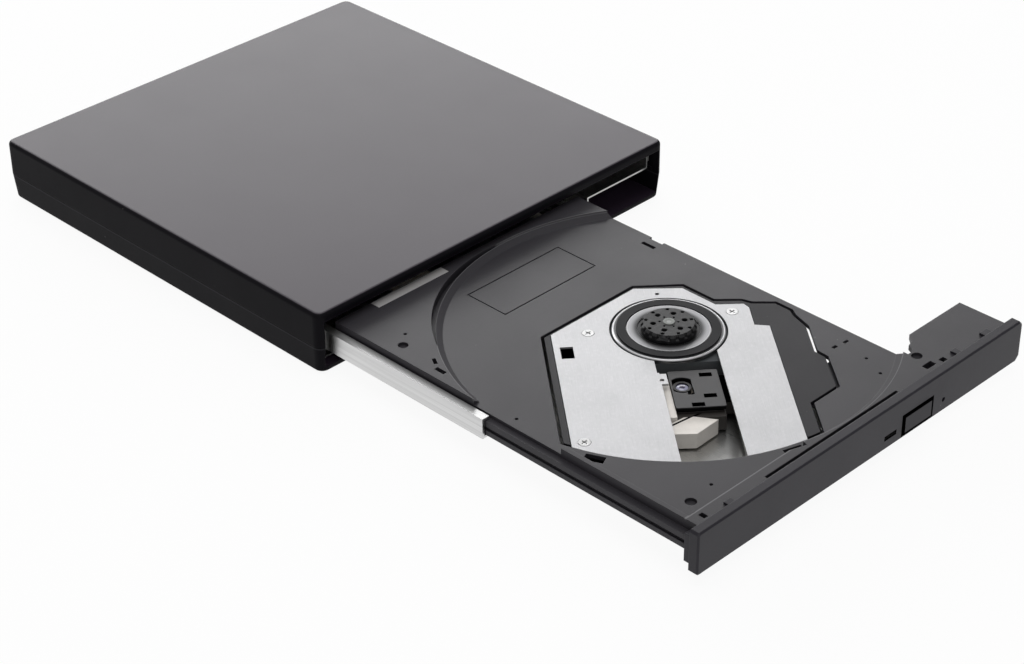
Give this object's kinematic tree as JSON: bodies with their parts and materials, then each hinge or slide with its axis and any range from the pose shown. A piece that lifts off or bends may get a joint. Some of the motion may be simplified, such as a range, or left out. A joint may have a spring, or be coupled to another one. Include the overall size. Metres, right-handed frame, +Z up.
{
  "type": "external slim disc drive",
  "caption": "Slim external optical disc drive in a flat plastic case, its tray open on steel rails with turntable, pickup and cover plate in view.",
  "frame": {"origin": "on the table, in the plane of the rubber feet's soles, under the middle of the whole drive with its tray fully out", "axes": "+Z up, +Y from the front with the tray mouth to the back with the sockets, +X to the right as seen from the front"},
  "size_m": [0.134, 0.2672, 0.019],
  "materials": {
    "enclosure_plastic": "fine satin, near black",
    "foot_rubber": "matt",
    "black_screw_steel": "black oxide",
    "pan_steel": "plated sheet steel",
    "guide_plastic": "black moulding",
    "bright_steel": "ground",
    "circuit_board": "green solder mask",
    "chip_plastic": "black epoxy",
    "socket_metal": "nickel plate",
    "socket_plastic": "black moulding",
    "ribbon_film": "pale film with conductors",
    "rail_steel": "bright rolled steel",
    "tray_plastic": "fine grained, warm dark grey",
    "bezel_plastic": "fine satin",
    "light_guide": "smoky clear",
    "solenoid_copper": "wound wire",
    "cover_plate_steel": "fine brushed",
    "inner_cover_plastic": "fine grained",
    "frame_plastic": "glass filled",
    "motor_steel": "drawn can",
    "mount_rubber": "soft",
    "plate_screw_steel": "zinc plate",
    "stator_metal": "lacquered",
    "label_film": "blank printed film",
    "hook_plastic": "natural moulding",
    "turntable_metal": "dark plated, turned",
    "turntable_rubber": "matt",
    "hub_plastic": "black moulding",
    "pickup_casting": "as cast, warm grey",
    "pickup_cover_plastic": "black moulding",
    "lens_holder_plastic": "black moulding",
    "lens_glass": "coated"
  },
  "bodies": {
    "root": {"enclosure_top_cover": "enclosure_plastic", "enclosure_bottom_cover": "enclosure_plastic", "rubber_feet": "foot_rubber", "case_screws": "black_screw_steel", "chassis_bottom_pan": "pan_steel", "chassis_lid": "pan_steel", "left_rail_guide": "guide_plastic", "right_rail_guide": "guide_plastic", "lock_post": "bright_steel", "main_board": "circuit_board", "main_board_chips": "chip_plastic", "drive_socket": "guide_plastic", "drive_plug": "guide_plastic", "bridge_board": "circuit_board", "bridge_board_chips": "chip_plastic", "usb_socket": "socket_metal", "usb_contact_block": "socket_plastic", "power_jack": "guide_plastic", "ribbon_floor_run": "ribbon_film"},
    "left_rail": {"left_rail": "rail_steel"},
    "right_rail": {"right_rail": "rail_steel"},
    "tray": {"disc_tray": "tray_plastic", "tray_bezel": "bezel_plastic", "eject_switch": "chip_plastic", "status_light": "light_guide", "front_board": "circuit_board", "lock_solenoid": "solenoid_copper", "lock_pivot_pin": "bright_steel", "mechanism_cover_plate": "cover_plate_steel", "inner_cover": "inner_cover_plastic", "traverse_frame": "frame_plastic", "main_guide_shaft": "bright_steel", "second_guide_shaft": "bright_steel", "sled_motor": "motor_steel", "bottom_tub": "pan_steel", "rubber_mounts": "mount_rubber", "plate_screws": "plate_screw_steel", "spindle_stator": "stator_metal", "tray_label": "label_film", "ribbon_tray_run": "ribbon_film"},
    "eject_button": {"eject_button": "bezel_plastic"},
    "lock_hook": {"lock_hook": "hook_plastic"},
    "lead_screw": {"lead_screw": "bright_steel"},
    "turntable": {"turntable": "turntable_metal", "turntable_rubber": "turntable_rubber", "clamp_hub": "hub_plastic"},
    "clamp_claw_1": {"clamp_claw_1": "hub_plastic"},
    "clamp_claw_2": {"clamp_claw_2": "hub_plastic"},
    "clamp_claw_3": {"clamp_claw_3": "hub_plastic"},
    "pickup": {"pickup_base": "pickup_casting", "pickup_cover": "pickup_cover_plastic"},
    "lens": {"lens_holder": "lens_holder_plastic", "objective_lens": "lens_glass"}
  },
  "joints": [
    {"name": "tray_slide", "type": "slide", "parent": "root", "child": "tray", "axis": [0, 1, 0], "range_m": [0, 0.1285]},
    {"name": "left_rail_slide", "type": "slide", "parent": "root", "child": "left_rail", "axis": [0, 1, 0], "range_m": [0, 0.06425]},
    {"name": "right_rail_slide", "type": "slide", "parent": "root", "child": "right_rail", "axis": [0, 1, 0], "range_m": [0, 0.06425]},
    {"name": "eject_press", "type": "slide", "parent": "tray", "child": "eject_button", "axis": [0, 1, 0], "range_m": [0, 0.0006], "stiffness_N_per_m": 600},
    {"name": "lock_swing", "type": "hinge", "parent": "tray", "child": "lock_hook", "pos_m": [0.0386, -0.12685, 0.0113], "axis": [0, 0, 1], "range_deg": [0, 10], "stiffness_Nm_per_rad": 0.004},
    {"name": "spindle_spin", "type": "hinge", "parent": "tray", "child": "turntable", "pos_m": [0, -0.06685, 0.0112], "axis": [0, 0, 1], "continuous": true},
    {"name": "claw_1_press", "type": "slide", "parent": "turntable", "child": "clamp_claw_1", "axis": [0, -1, 0], "range_m": [0, 0.0006], "stiffness_N_per_m": 800},
    {"name": "claw_2_press", "type": "slide", "parent": "turntable", "child": "clamp_claw_2", "axis": [0.866, 0.5, 0], "range_m": [0, 0.0006], "stiffness_N_per_m": 800},
    {"name": "claw_3_press", "type": "slide", "parent": "turntable", "child": "clamp_claw_3", "axis": [-0.866, 0.5, 0], "range_m": [0, 0.0006], "stiffness_N_per_m": 800},
    {"name": "pickup_travel", "type": "slide", "parent": "tray", "child": "pickup", "axis": [-0.6428, -0.766, 0], "range_m": [-0.0014, 0.033]},
    {"name": "lead_screw_turn", "type": "hinge", "parent": "tray", "child": "lead_screw", "pos_m": [0.00428, -0.08898, 0.0074], "axis": [-0.6428, -0.766, 0], "range_deg": [-180, 3980]},
    {"name": "lens_focus", "type": "slide", "parent": "pickup", "child": "lens", "axis": [0, 0, 1], "range_m": [-0.0004, 0.0004], "stiffness_N_per_m": 60}
  ],
  "couplings": [
    {"joint": "left_rail_slide", "follows": "tray_slide", "ratio": 0.5},
    {"joint": "right_rail_slide", "follows": "tray_slide", "ratio": 0.5},
    {"joint": "lead_screw_turn", "follows": "pickup_travel", "rad_per_m": 2094.4}
  ]
}
